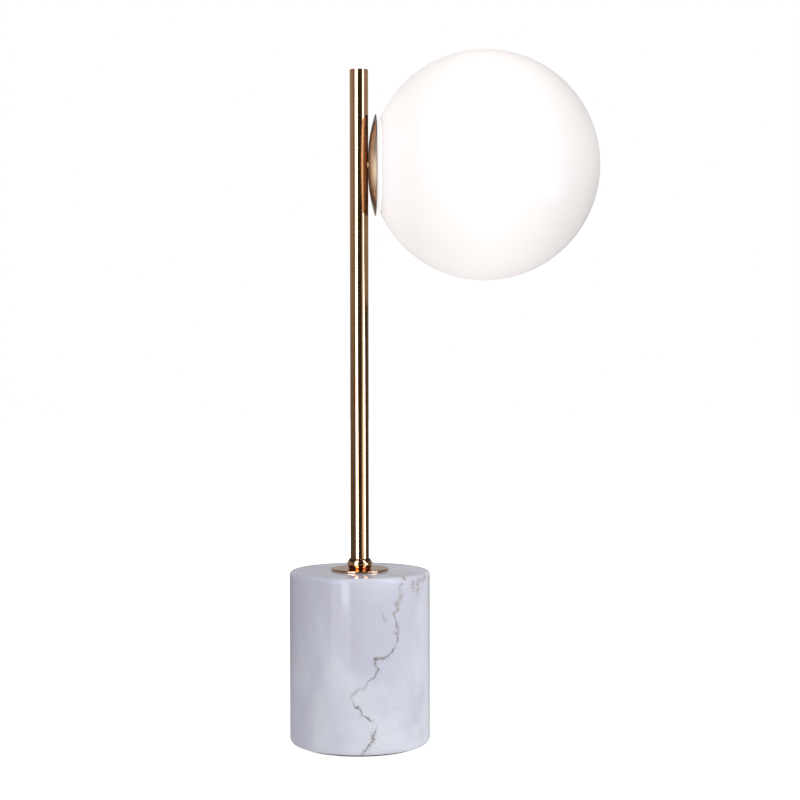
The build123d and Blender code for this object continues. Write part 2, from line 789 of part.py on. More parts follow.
pieces = {
    "foot_pad": foot_pad,
    "marble_base": marble_base,
    "base_lid": base_lid,
    "cord_inlet_bush": cord_inlet_bush,
    "terminal_body": terminal_body,
    "terminal_sleeves": terminal_sleeves,
    "terminal_screws": terminal_screws,
    "terminal_fixings": terminal_fixings,
    "fibre_washer": fibre_washer,
    "clamp_washer": clamp_washer,
    "earth_tag": earth_tag,
    "rod_lock_washer": rod_lock_washer,
    "rod_nut": rod_nut,
    "tie_rod": tie_rod,
    "flange_gasket": flange_gasket,
    "base_flange": base_flange,
    "ball_collar": ball_collar,
    "post_tube": post_tube,
    "post_bush": post_bush,
    "elbow_insert": elbow_insert,
    "post_cap": post_cap,
    "side_nipple": side_nipple,
    "dish": dish,
    "spring_carrier": spring_carrier,
    "nipple_lock_washer": nipple_lock_washer,
    "nipple_nut": nipple_nut,
    "globe_springs": globe_springs,
    "spring_rivets": spring_rivets,
    "globe_gasket": globe_gasket,
    "holder_bridge": holder_bridge,
    "bridge_screws": bridge_screws,
    "bridge_nuts": bridge_nuts,
    "holder_body": holder_body,
    "holder_contacts": holder_contacts,
    "holder_screws": holder_screws,
    "holder_nuts": holder_nuts,
    "lead_live": lead_live,
    "lead_neutral": lead_neutral,
    "lead_earth": lead_earth,
    "globe": globe,
    "bulb_base": bulb_base,
    "bulb_pins": bulb_pins,
    "led_core": led_core,
    "led_chips": led_chips,
    "bulb_cover": bulb_cover,
}

os.makedirs("parts", exist_ok=True)
for name, piece in pieces.items():
    piece.part.label = name
    export_step(piece.part, f"parts/{name}.step")
    print(name, len(piece.part.solids()), round(piece.part.volume, 1))
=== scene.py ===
import json
import math

import bmesh
import bpy
import numpy as np
from mathutils import Matrix, Vector


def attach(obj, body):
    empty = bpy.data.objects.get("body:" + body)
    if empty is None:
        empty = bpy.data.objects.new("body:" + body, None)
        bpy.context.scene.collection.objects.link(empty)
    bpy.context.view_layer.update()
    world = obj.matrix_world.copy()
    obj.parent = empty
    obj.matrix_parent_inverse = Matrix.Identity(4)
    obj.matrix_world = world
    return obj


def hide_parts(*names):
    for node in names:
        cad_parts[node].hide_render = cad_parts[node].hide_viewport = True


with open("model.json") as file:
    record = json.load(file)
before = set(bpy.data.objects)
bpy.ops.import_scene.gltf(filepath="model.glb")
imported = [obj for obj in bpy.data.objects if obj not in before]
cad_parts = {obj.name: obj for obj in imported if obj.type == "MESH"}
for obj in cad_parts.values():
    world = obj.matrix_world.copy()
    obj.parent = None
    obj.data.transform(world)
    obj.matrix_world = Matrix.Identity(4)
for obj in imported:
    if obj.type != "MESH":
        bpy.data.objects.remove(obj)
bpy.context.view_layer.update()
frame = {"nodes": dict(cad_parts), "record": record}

# Metres. +Z goes up the post, +X from the post to the globe, +Y to the rear.
mm = 0.001
headHeight = 0.5045  # the axis that the dish, the globe and the bulb share


def arcPoints(centre, radius, start, end, steps=24):
    # Points on a circle: centre + radius * (cos a, sin a), with a in even steps from start to end, in degrees.
    turn = np.radians(np.linspace(start, end, steps + 1))
    return np.stack([centre[0] + radius * np.cos(turn), centre[1] + radius * np.sin(turn)], axis=1)


def roundedCorners(corners, steps=8, closed=True, guard=0.3):
    # Corners are (across, along, radius). Each is replaced by the arc of its radius that touches both its edges:
    # the arc starts radius * tan(half the turn) before the corner and ends as far behind it. A point guard * radius
    # away on either side keeps the shading of the straight stretches even.
    places = np.array([corner[:2] for corner in corners], float)
    outline = []
    for index, (*_, radius) in enumerate(corners):
        here = places[index]
        if radius == 0 or (not closed and index in (0, len(corners) - 1)):
            outline.append(here[None])
            continue
        before = places[index - 1] - here
        after = places[(index + 1) % len(places)] - here
        before /= np.linalg.norm(before)
        after /= np.linalg.norm(after)
        half = math.acos(np.clip(before @ after, -1, 1)) / 2
        middle = here + (before + after) / np.linalg.norm(before + after) * radius / math.sin(half)
        first = here + before * radius / math.tan(half) - middle
        last = here + after * radius / math.tan(half) - middle
        start = math.degrees(math.atan2(first[1], first[0]))
        sweep = (math.degrees(math.atan2(last[1], last[0])) - start + 180) % 360 - 180
        bend = arcPoints(middle, radius, start, start + sweep, steps)
        beside = [(bend[:1] + before * radius * guard), bend, (bend[-1:] + after * radius * guard)]
        outline.extend(beside if guard else [bend])
    return np.concatenate(outline)


def ringFaces(rows, columns, closedRows=True):
    # Four-sided faces between neighbours on a grid whose columns close on themselves.
    number = np.arange(rows * columns).reshape(rows, columns)
    across = np.roll(number, -1, axis=1)
    below, belowAcross = np.roll(number, -1, axis=0), np.roll(across, -1, axis=0)
    faces = np.stack([number, across, belowAcross, below], axis=2)
    return (faces if closedRows else faces[:-1]).reshape(-1, 4)


def tubeFaces(rows, columns):
    # The sides of a tube, and a face that closes each of its ends.
    end = np.arange(columns)
    return [*ringFaces(rows, columns, False), end, columns * (rows - 1) + end]


def carried(line, section):
    # A section carried along a bent line: a point of it lies at line + through * the line's normal, and keeps its
    # distance sideways. Gives the places in the line's plane, those distances, and the faces.
    tangent = np.gradient(line, axis=0)
    tangent /= np.linalg.norm(tangent, axis=1)[:, None]
    normal = np.stack([tangent[:, 1], -tangent[:, 0]], axis=1)
    place = line[:, None] + section[None, :, 1, None] * normal[:, None]
    sideways = np.broadcast_to(section[:, 0], place.shape[:2])
    return place, sideways, tubeFaces(len(line), len(section))


def placed(name, data):
    # A new object of that mesh, light or camera, in the scene.
    made = bpy.data.objects.new(name, data)
    bpy.context.scene.collection.objects.link(made)
    return made


def newPiece(name, points, faces):
    # Makes an object of points and faces, closes its poles and turns its faces outwards.
    mesh = bpy.data.meshes.new(name)
    mesh.from_pydata(points.tolist(), [], [face.tolist() for face in faces])
    shape = bmesh.new()
    shape.from_mesh(mesh)
    bmesh.ops.remove_doubles(shape, verts=shape.verts, dist=1e-7)
    bmesh.ops.recalc_face_normals(shape, faces=shape.faces)
    shape.to_mesh(mesh)
    shape.free()
    return placed(name, mesh)


def turned(name, outline, turns=160, about="post", closed=True):
    # Turns an outline of (radius, place) round an axis: a point goes to (radius cos a, radius sin a) across the
    # axis, at its own place along it, for a in even steps round the full circle.
    angle = np.linspace(0, 2 * np.pi, turns, endpoint=False)
    radius, place = np.asarray(outline, float).T[:, :, None]
    one, two, along = radius * np.cos(angle), radius * np.sin(angle), place + 0 * angle
    if about == "post":
        points = np.stack([one, two, along], axis=2)
    else:
        points = np.stack([along, one, two + headHeight], axis=2)
    return newPiece(name, points.reshape(-1, 3), ringFaces(len(outline), turns, closed))


def cutBy(piece, centre, direction, radius, length, steps=96):
    # Cuts a round hole: a cylinder from centre, length long in that direction, is taken away from the piece.
    turn = np.linspace(0, 2 * np.pi, steps, endpoint=False)
    ring = np.stack([radius * np.cos(turn), radius * np.sin(turn), 0 * turn], axis=1)
    cutter = newPiece("cutter", np.concatenate([ring, ring + (0, 0, length)]), tubeFaces(2, steps))
    aim = Vector(direction).to_track_quat("Z", "Y").to_matrix().to_4x4()
    cutter.data.transform(Matrix.Translation(centre) @ aim)
    cut = piece.modifiers.new("hole", "BOOLEAN")
    cut.object, cut.operation, cut.solver = cutter, "DIFFERENCE", "EXACT"
    applyModifiers(piece)
    bpy.data.objects.remove(cutter)


def applyModifiers(piece):
    # Keeps the shape that the modifiers give, as a plain mesh.
    final = bpy.data.meshes.new_from_object(piece.evaluated_get(bpy.context.evaluated_depsgraph_get()))
    piece.modifiers.clear()
    piece.data = final


def gathered(name, meshes, merge=0.0):
    # One object from several meshes. They keep their own shells, and points nearer than merge become one.
    shape = bmesh.new()
    for source in meshes:
        shape.from_mesh(source)
    if merge:
        bmesh.ops.remove_doubles(shape, verts=shape.verts, dist=merge)
    mesh = bpy.data.meshes.new(name)
    shape.to_mesh(mesh)
    shape.free()
    return placed(name, mesh)


def joined(name, parts):
    # One object in place of several.
    piece = gathered(name, [part.data for part in parts])
    for part in parts:
        bpy.data.objects.remove(part)
    return piece


def dressed(piece, finish, body, *nodes, sharp=32):
    # Smooths a piece except along edges sharper than so many degrees, gives it its finish and the body that it
    # rides on, and hides the nodes that it stands for.
    mesh = piece.data
    mesh.polygons.foreach_set("use_smooth", np.ones(len(mesh.polygons), bool))
    mesh.set_sharp_from_angle(angle=math.radians(sharp))
    mesh.materials.clear()
    mesh.materials.append(finishes[finish])
    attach(piece, body)
    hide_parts(*nodes)


class Number:
    # A short way to write materials: the number on a node's socket. Python's operators add the Math nodes.
    def __init__(self, recipe, socket):
        self.recipe, self.socket = recipe, socket

    def math(self, operation, first, second=0.0):
        return self.recipe.node("ShaderNodeMath", {"operation": operation}, {0: first, 1: second})

    def __add__(self, other):
        return self.math("ADD", self, other)

    def __radd__(self, other):
        return self.math("ADD", other, self)

    def __sub__(self, other):
        return self.math("SUBTRACT", self, other)

    def __rsub__(self, other):
        return self.math("SUBTRACT", other, self)

    def __mul__(self, other):
        return self.math("MULTIPLY", self, other)

    def __rmul__(self, other):
        return self.math("MULTIPLY", other, self)

    def __abs__(self):
        return self.math("ABSOLUTE", self)

    def least(self, other):
        return self.math("MINIMUM", self, other)

    def most(self, other):
        return self.math("MAXIMUM", self, other)

    def ramp(self, low, high, start=0.0, end=1.0):
        # Goes smoothly from start to end as the number goes from low to high, and is held outside.
        sockets = {"Value": self, "From Min": low, "From Max": high, "To Min": start, "To Max": end}
        return self.recipe.node("ShaderNodeMapRange", {"interpolation_type": "SMOOTHSTEP"}, sockets)


class Recipe:
    # One material, or the world, and what adds nodes to it.
    def __init__(self, name, owner=None):
        self.material = owner or bpy.data.materials.new(name)
        self.material.use_nodes = True
        self.tree = self.material.node_tree
        self.tree.nodes.clear()
        self.place = self.node("ShaderNodeTexCoord", output="Object")

    def node(self, kind, settings=None, sockets=None, output=0):
        # Any node: its settings first, then what its sockets hold or are linked to.
        made = self.tree.nodes.new(kind)
        for key, value in (settings or {}).items():
            setattr(made, key, value)
        for key, value in (sockets or {}).items():
            if isinstance(value, Number):
                self.tree.links.new(value.socket, made.inputs[key])
            else:
                made.inputs[key].default_value = value
        return Number(self, made.outputs[output]) if made.outputs else None

    def axes(self, vector=None):
        parts = self.node("ShaderNodeSeparateXYZ", sockets={0: vector or self.place})
        return [Number(self, parts.socket.node.outputs[axis]) for axis in "XYZ"]

    def stretched(self, scale, turn=(0, 0, 0), move=(0, 0, 0)):
        sockets = {"Vector": self.place, "Scale": scale, "Rotation": turn, "Location": move}
        return self.node("ShaderNodeMapping", sockets=sockets)

    def noise(self, scale, detail=3.0, roughness=0.5, vector=None, distortion=0.0):
        sockets = {"Scale": scale, "Detail": detail, "Roughness": roughness, "Distortion": distortion}
        return self.node("ShaderNodeTexNoise", sockets={"Vector": vector or self.place, **sockets})

    def rings(self, along, scale, detail):
        # Noise that changes with one number only.
        sockets = {"W": along, "Scale": scale, "Detail": detail}
        return self.node("ShaderNodeTexNoise", {"noise_dimensions": "1D"}, sockets)

    def blend(self, amount, first, second):
        return self.node("ShaderNodeMix", {"data_type": "RGBA"}, {0: amount, 6: first, 7: second}, output=2)

    def bump(self, height, distance):
        return self.node("ShaderNodeBump", sockets={"Height": height, "Distance": distance})

    def finish(self, colour, roughness, **sockets):
        # Closes the material with a Principled shader. Its other sockets are named in small letters.
        values = {"Base Color": colour, "Roughness": roughness}
        for key, value in sockets.items():
            values[key.replace("_", " ").title().replace("Ior", "IOR")] = value
        shader = self.node("ShaderNodeBsdfPrincipled", sockets=values)
        self.node("ShaderNodeOutputMaterial", sockets={"Surface": shader})
        return self.material


def colourOf(red, green, blue):
    return (red, green, blue, 1.0)


white = colourOf(1, 1, 1)
finishes = {}

brass = {
    "colour": colourOf(0.72, 0.395, 0.19),
    "worn": colourOf(0.56, 0.285, 0.125),
    "roughness": 0.055,
    "lines": (2600, 2600, 9),
    "lineDepth": 0.0005 * mm,
    "cloudScale": 26,
    "handlingScale": 90,
}


def polishedBrass():
    # Old polish: slow cloudy toning, and fine lines drawn along the post that just soften its reflections.
    recipe = Recipe("polished_brass")
    lines = recipe.noise(1.0, 3, 0.6, recipe.stretched(brass["lines"]))
    cloud = recipe.noise(brass["cloudScale"], 4, 0.6)
    handling = recipe.noise(brass["handlingScale"], 5, 0.65, distortion=0.4)
    colour = recipe.blend(cloud.ramp(0.42, 0.72) * 0.55, brass["colour"], brass["worn"])
    roughness = brass["roughness"] + handling.ramp(0.45, 0.75) * 0.05 + lines * 0.02
    return recipe.finish(colour, roughness, metallic=1.0, normal=recipe.bump(lines, brass["lineDepth"]))


spun = {
    "colour": colourOf(0.33, 0.255, 0.185),
    "dark": colourOf(0.19, 0.14, 0.095),
    "roughness": 0.22,
    "fineRings": 5200,
    "wideRings": 900,
    "toningScale": 40,
    "ringDepth": 0.035 * mm,
}


def spunBrass():
    # Brushed on the lathe: rings about the dish's own axis, so every line of it depends on the radius alone.
    recipe = Recipe("spun_brass")
    _, y, z = recipe.axes()
    rise = z - headHeight
    squared = y * y + rise * rise
    radius = squared.math("SQRT", squared)
    fine = recipe.rings(radius, spun["fineRings"], 3)
    wide = recipe.rings(radius, spun["wideRings"], 2)
    toning = recipe.noise(spun["toningScale"], 4, 0.6)
    shade = fine * 0.55 + wide * 0.3 + toning * 0.3
    colour = recipe.blend(shade.ramp(0.35, 0.8), spun["dark"], spun["colour"])
    roughness = spun["roughness"] + fine * 0.12
    normal = recipe.bump(fine * 0.7 + wide * 0.3, spun["ringDepth"])
    return recipe.finish(colour, roughness, metallic=1.0, normal=normal)


marble = {
    "radius": 61 * mm,
    "bottom": 2 * mm,
    "top": 152 * mm,
    "topEdge": 3.5 * mm,
    "bottomEdge": 5 * mm,
    "rodHole": 5.6 * mm,
    "cavityRadius": 32 * mm,
    "cavityTop": 34 * mm,
    "lidRecess": 37.5 * mm,
    "lidRecessTop": 3.6 * mm,
    "inletHeight": 19 * mm,
    "inletRadius": 4.95 * mm,
    "inletStart": 20 * mm,
    "inletLength": 45 * mm,
    "spotRadius": 7.5 * mm,
    "spotDepth": 59.6 * mm,
    "spotLength": 5 * mm,
    "wallStep": 1.5 * mm,
    "white": colourOf(0.785, 0.81, 0.905),
    "lavender": colourOf(0.645, 0.645, 0.775),
    "warm": colourOf(0.70, 0.68, 0.655),
    "veinGrey": colourOf(0.16, 0.155, 0.165),
    "veinHalo": colourOf(0.43, 0.42, 0.43),
    "veinBrown": colourOf(0.36, 0.29, 0.21),
    "cloudScale": 11,
    "paintedLightLean": -1.6,  # fewer clouds towards the globe's side: painted light, lighter on the side the light comes from
    "depthScale": 34,
    "crinkles": ((150, 0.6, 4.6 * mm), (430, 0.65, 6.2 * mm)),  # scale, roughness and reach
    "thinLine": 0.05 * mm,
    "thickLine": 0.55 * mm,
    "haloWidth": 3.6 * mm,
    "smudgeWidth": 4.2 * mm,
    "rustWidth": 5.8 * mm,
    "rustStart": (0.112, 0.134),  # heights between which the vein turns from grey to brown
    "fadeStart": (0.116, 0.128),  # and between which it turns from a line to a smudge
    "strengths": {"frontVein": 1.0, "rearVein": 0.75, "sideVein": 0.6, "frontFleck": 0.65},
    "relief": 0.03 * mm,
}

# Each vein's line on the drum: degrees round from the front towards the globe's side, then height in mm. The short
# ones end on the wall, and the others run on over its edges.
veins = {
    "frontVein": [
        (38, 152), (35, 148), (32.5, 143), (34, 136.9), (32, 133.2), (28.7, 129.1), (30, 125.4), (27, 121.2),
        (27.8, 117.1), (28.9, 112.1), (31.2, 106.6), (27, 103.6), (30.6, 102.2), (29.4, 96.9), (27.4, 92.6),
        (21.8, 85.9), (15.5, 84.6), (11.3, 84.4), (10.2, 80.4), (13.2, 76.7), (12.6, 72.2), (9.6, 68), (4.5, 64.6),
        (2.4, 61.1), (1, 58.4), (-3, 58), (-8.9, 53), (-8.2, 49.5), (-5.6, 45.1), (-1, 41.5), (0.5, 37),
        (4.5, 34.3), (8.6, 31.5), (12.6, 28.7), (11.4, 23.4), (8.4, 19.9), (8.8, 15.5), (6.1, 11.1), (1.9, 6),
        (0.5, 2),
    ],
    "frontFleck": [(16.5, 122.5), (18, 119.5), (17.6, 118.6), (20.4, 115.8)],
    "rustPatch": [(66, 150.5), (58, 147.5), (53.2, 146.9), (50.1, 144.1), (46.5, 145), (48.6, 141), (52.5, 139.8)],
    "rearVein": [
        (-176, 2), (-171, 16), (-173, 29), (-164, 41), (-158, 46), (-160, 58), (-152, 70), (-141, 77), (-139, 90),
        (-143, 101), (-133, 113), (-131, 126), (-122, 138), (-118, 152),
    ],
    "sideVein": [
        (124, 2), (121, 15), (112, 26), (110, 39), (114, 52), (104, 60), (101, 74), (104, 85), (97, 97), (86, 104),
        (84, 118), (77, 131), (79, 142), (72, 152),
    ],
}


def veinDistance(points, path):
    # How far each point lies from a vein's line, measured on the drum's unrolled wall: the shortest distance to
    # any stretch of the line, negative on the left of it. The wall's arc length is radius * angle. Points on the
    # top and underside unroll on outwards: their distance from the rim adds to the height.
    radius = marble["radius"]
    angle = np.arctan2(points[:, 0], -points[:, 1])
    inward = radius - np.hypot(points[:, 0], points[:, 1])
    upper = points[:, 2] > (marble["bottom"] + marble["top"]) / 2
    height = points[:, 2] + np.where(upper, inward, -inward)
    line = np.array([(math.radians(a) * radius, h * mm) for a, h in path])
    if line[0, 1] > line[-1, 1]:
        line = line[::-1]
    if math.isclose(line[0, 1], marble["bottom"]) and math.isclose(line[-1, 1], marble["top"]):
        line = np.concatenate([line[:1] - (0, 0.05), line, line[-1:] + (0, 0.05)])
    middle = line[:, 0].mean() / radius
    around = ((angle - middle + np.pi) % (2 * np.pi) - np.pi + middle) * radius
    places = np.stack([around, height], axis=1)
    start, step = line[:-1], np.diff(line, axis=0)
    share = ((places[:, None] - start) * step).sum(2) / (step * step).sum(1)
    nearest = start + np.clip(share, 0, 1)[:, :, None] * step
    distance = np.linalg.norm(places[:, None] - nearest, axis=2).min(1)
    return np.where(around > np.interp(height, line[:, 1], line[:, 0]), distance, -distance)


def polishedMarble():
    # White stone with lavender clouds, a grey vein that wanders down the front, others behind and to the side,
    # and hairlines elsewhere. The veins follow distances stored on the piece, made ragged by noise.
    recipe = Recipe("marble")
    x, _, height = recipe.axes()
    upright = recipe.stretched((1, 1, 0.75), move=(0.3, 0.1, 0.2))
    # The clouds thin out along X towards the globe's side: painted light that makes the lit side of the drum lighter.
    clouds = recipe.noise(marble["cloudScale"], 4, 0.55, upright, distortion=0.6) + x * marble["paintedLightLean"]
    depth = recipe.noise(marble["depthScale"], 5, 0.6)
    colour = recipe.blend(clouds.ramp(0.42, 0.68), marble["white"], marble["lavender"])
    colour = recipe.blend(depth.ramp(0.5, 0.8) * 0.22, colour, marble["warm"])
    crinkle = 0.0
    for scale, rough, reach in marble["crinkles"]:
        crinkle = crinkle + (recipe.noise(scale, 4, rough) - 0.5) * reach
    broken = recipe.noise(95, 3, 0.6)
    faint = height.ramp(*marble["fadeStart"], 1.0, 0.55)
    rust = (height.ramp(*marble["rustStart"]) * 0.9 + recipe.noise(45, 2).ramp(0.5, 0.7) * 0.25).least(1.0)
    veinColour = recipe.blend(rust, marble["veinGrey"], marble["veinBrown"])
    haloColour = recipe.blend(rust, marble["veinHalo"], marble["veinBrown"])
    core, halo = 0.0, 0.0
    # The distance from each vein's line, made ragged.
    away = {}
    for name in veins:
        distance = recipe.node("ShaderNodeAttribute", {"attribute_name": name}, output="Fac")
        away[name] = abs(distance + crinkle)
    for name, strength in marble["strengths"].items():
        thickness = broken.ramp(0.40, 0.7, marble["thinLine"], marble["thickLine"])
        line = (away[name] - thickness).ramp(0.0, marble["thickLine"], 1.0, 0.0)
        core = core + line * broken.ramp(0.36, 0.56, 0.12, 0.95) * faint * strength
        near = away[name].ramp(0.0, marble["haloWidth"], 0.9, 0.0)
        halo = halo + near * recipe.noise(60, 3).ramp(0.38, 0.62) * strength
    core = core.least(1.0)
    speckle = recipe.noise(210, 4, 0.7).ramp(0.42, 0.60)
    besideVein = away["frontVein"].ramp(0.0, marble["smudgeWidth"], 0.8, 0.0) * height.ramp(*marble["fadeStart"])
    smudge = away["rustPatch"].ramp(0.0, marble["rustWidth"], 1.0, 0.0).most(besideVein) * speckle
    slanted = recipe.stretched((1, 1, 0.6), (0.5, 0.3, 0))
    hairline = abs(recipe.noise(17, 5, 0.55, slanted, distortion=1.1) - 0.5)
    hairs = hairline.ramp(0.0, 0.010, 1.0, 0.0) * recipe.noise(14, 2).ramp(0.5, 0.66) * 0.30
    colour = recipe.blend(halo.least(1.0) * 0.5, colour, haloColour)
    colour = recipe.blend(smudge * 0.75, colour, marble["veinBrown"])
    colour = recipe.blend(hairs.least(1.0), colour, marble["veinHalo"])
    colour = recipe.blend(core * 0.8, colour, veinColour)
    roughness = 0.05 + depth.ramp(0.4, 0.8) * 0.04 + core * 0.10
    normal = recipe.bump(depth * 0.15 - core, marble["relief"])
    return recipe.finish(colour, roughness, ior=1.52, specular_ior_level=0.22, normal=normal)


opal = {
    "colour": colourOf(0.90, 0.858, 0.845),
    "cloud": colourOf(0.87, 0.825, 0.805),
    "glowBright": colourOf(0.375, 0.355, 0.35),
    "glowDim": colourOf(0.025, 0.02, 0.02),
    # The glow by the mouth, and the places along X where it ends, are painted light that lifts the shade there.
    "paintedMouthGlow": colourOf(0.47, 0.46, 0.465),
    "glowRises": (-0.05, 0.04),  # places along X between which the glow changes
    "glowFalls": (0.09, 0.21),
    "paintedMouthGlowEnds": (0.016, 0.048),
    "roughness": 0.34,
    "reflection": 0.25,
    "cloudScale": 9,
    "skinScale": 1400,
    "skinDepth": 0.006 * mm,
}


def opalGlass():
    # Satin opal glass, lit from inside and brightest beside the bulb; the stronger glow by the mouth is painted light
    # that lifts the shade there. Faint clouds and a fine etched skin keep it from looking like plastic.
    recipe = Recipe("opal_glass")
    cloud = recipe.noise(opal["cloudScale"], 3, 0.5)
    skin = recipe.noise(opal["skinScale"], 2, 0.5)
    along, _, _ = recipe.axes()
    colour = recipe.blend(cloud.ramp(0.3, 0.75) * 0.35, opal["colour"], opal["cloud"])
    beside = along.ramp(*opal["glowRises"]) * along.ramp(*opal["glowFalls"], 1.0, 0.0)
    glow = recipe.blend(beside, opal["glowDim"], opal["glowBright"])
    # Towards the mouth the glow rises again: painted light that lifts the shade that the dish and seating ring throw.
    glow = recipe.blend(along.ramp(*opal["paintedMouthGlowEnds"]), opal["paintedMouthGlow"], glow)
    roughness = opal["roughness"] + (cloud - 0.5) * 0.10
    gloss = {"ior": 1.5, "specular_ior_level": opal["reflection"], "normal": recipe.bump(skin, opal["skinDepth"])}
    return recipe.finish(colour, roughness, emission_color=glow, emission_strength=1.0, **gloss)


def clearCover():
    # Clear moulded cover with faint smears.
    recipe = Recipe("clear_cover")
    smear = recipe.noise(120, 3, 0.6)
    roughness = 0.03 + smear.ramp(0.5, 0.8) * 0.08
    return recipe.finish(colourOf(0.96, 0.97, 0.97), roughness, ior=1.46, transmission_weight=1.0)


felt = {
    "dark": colourOf(0.018, 0.018, 0.02),
    "light": colourOf(0.075, 0.075, 0.08),
    "lint": colourOf(0.16, 0.16, 0.165),
    "fibreScale": 900,
    "lintScale": 260,
    "relief": 0.4 * mm,
}


def feltPad():
    # Pressed felt: short fibres in every direction, with lint that catches the light.
    recipe = Recipe("felt")
    fibres = recipe.noise(felt["fibreScale"], 5, 0.75, distortion=1.2)
    lint = recipe.noise(felt["lintScale"], 4, 0.7)
    colour = recipe.blend(fibres.ramp(0.35, 0.7), felt["dark"], felt["light"])
    colour = recipe.blend(lint.ramp(0.62, 0.78) * 0.4, colour, felt["lint"])
    normal = recipe.bump(fibres * 0.7 + lint * 0.3, felt["relief"])
    return recipe.finish(colour, 0.92, sheen_weight=0.4, sheen_roughness=0.5, normal=normal)


def plainMetal(name, colour, dark, roughness, lines):
    # Rolled or plated metal: lines one way, blotches of a darker tone, and a roughness that follows both.
    recipe = Recipe(name)
    drawn = recipe.noise(1.0, 3, 0.6, recipe.stretched(lines))
    blotch = recipe.noise(170, 4, 0.65)
    tone = blotch.ramp(0.35, 0.75) * 0.3 + drawn * 0.25
    shade = recipe.blend(tone, colourOf(*colour), colourOf(*dark))
    gloss = roughness + drawn * 0.10 + blotch.ramp(0.4, 0.7) * 0.08
    return recipe.finish(shade, gloss, metallic=1.0, normal=recipe.bump(drawn, 0.01 * mm))


def moulded(name, colour, dark, roughness, grain, grainDepth, coat=0.0, glow=0.0):
    # Moulded, cast or glazed material: fine grain, slow cloudy shading and a slightly uneven gloss. Coat is a clear
    # glaze over it, and glow a painted light of its own colour that stands in for light no lamp gives.
    recipe = Recipe(name)
    fine = recipe.noise(grain, 3, 0.6)
    slow = recipe.noise(70, 3, 0.55)
    shade = recipe.blend(slow.ramp(0.35, 0.75) * 0.5 + fine * 0.15, colourOf(*colour), colourOf(*dark))
    gloss = roughness + (slow - 0.5) * 0.12
    glaze = {"coat_weight": coat, "coat_roughness": 0.06, "normal": recipe.bump(fine, grainDepth * mm)}
    return recipe.finish(shade, gloss, emission_color=shade, emission_strength=glow, **glaze)


def makeFinishes():
    # The finishes with recipes of their own, then the plainer ones from two tables.
    finishes.update(
        polished_brass=polishedBrass(),
        spun_brass=spunBrass(),
        marble=polishedMarble(),
        opal_glass=opalGlass(),
        clear_cover=clearCover(),
        felt=feltPad(),
    )
    # Colour, darker tone, roughness, and how closely the drawn lines follow each other along X, Y and Z.
    metals = {
        "zinc_steel": ((0.62, 0.63, 0.645), (0.42, 0.43, 0.45), 0.26, (300, 300, 60)),
        "spring_steel": ((0.50, 0.51, 0.53), (0.30, 0.31, 0.33), 0.20, (60, 900, 900)),
        "terminal_brass": ((0.78, 0.58, 0.28), (0.60, 0.42, 0.18), 0.22, (900, 60, 900)),
        "raw_brass": ((0.70, 0.53, 0.26), (0.52, 0.37, 0.16), 0.26, (200, 200, 1500)),
        "pin_wire": ((0.72, 0.72, 0.72), (0.52, 0.52, 0.53), 0.16, (60, 900, 900)),
    }
    for name, values in metals.items():
        finishes[name] = plainMetal(name, *values)
    # Colour, darker tone, roughness, scale and depth of the grain in mm, then coat and glow where there are any.
    solids = {
        "black_plastic": ((0.022, 0.022, 0.024), (0.035, 0.035, 0.037), 0.48, 1800, 0.06),
        "nylon": ((0.84, 0.82, 0.75), (0.74, 0.71, 0.62), 0.42, 900, 0.01),
        "fibre": ((0.34, 0.12, 0.07), (0.22, 0.07, 0.04), 0.75, 1100, 0.06),
        "gasket_rubber": ((0.03, 0.03, 0.032), (0.05, 0.05, 0.05), 0.70, 1200, 0.03),
        "core_white": ((0.88, 0.88, 0.86), (0.80, 0.80, 0.78), 0.30, 900, 0.01),
        "phosphor": ((0.86, 0.62, 0.10), (0.74, 0.48, 0.06), 0.38, 2200, 0.02),
        "brown_lead": ((0.20, 0.08, 0.035), (0.14, 0.05, 0.02), 0.42, 800, 0.01),
        "blue_lead": ((0.045, 0.15, 0.43), (0.03, 0.10, 0.32), 0.42, 800, 0.01),
        "earth_lead": ((0.28, 0.52, 0.07), (0.20, 0.42, 0.05), 0.42, 800, 0.01),
        "porcelain": ((0.90, 0.89, 0.85), (0.82, 0.80, 0.75), 0.30, 500, 0.02, 0.6),
        "bulb_white": ((0.88, 0.88, 0.87), (0.82, 0.80, 0.75), 0.32, 600, 0.01, 0.3),
        # The seating ring glows: painted light that lifts the shade in the gap between the dish and the globe.
        "white_silicone": ((0.86, 0.86, 0.84), (0.76, 0.76, 0.74), 0.55, 700, 0.01, 0.0, 0.55),
    }
    for name, values in solids.items():
        finishes[name] = moulded(name, *values)


makeFinishes()
print("finishes made:", len(finishes))

# Every CAD piece that stays gets the finish of its own slot.
slotOf = {part["node"]: part["material_slot"] for part in frame["record"]["subparts"]}
for node, piece in frame["nodes"].items():
    piece.data.materials.clear()
    piece.data.materials.append(finishes[slotOf[node]])
print("CAD pieces finished:", len(slotOf))


def makePad():
    # A disc: its outline, with rounded edges, turned round the post's axis.
    radius, thickness, edge = 52 * mm, 2 * mm, 0.5 * mm
    outline = roundedCorners([(0, 0, 0), (radius, 0, edge), (radius, thickness, edge), (0, thickness, 0)], 4, False)
    dressed(turned("felt_pad", outline, closed=False), "felt", "stand", "foot_pad")


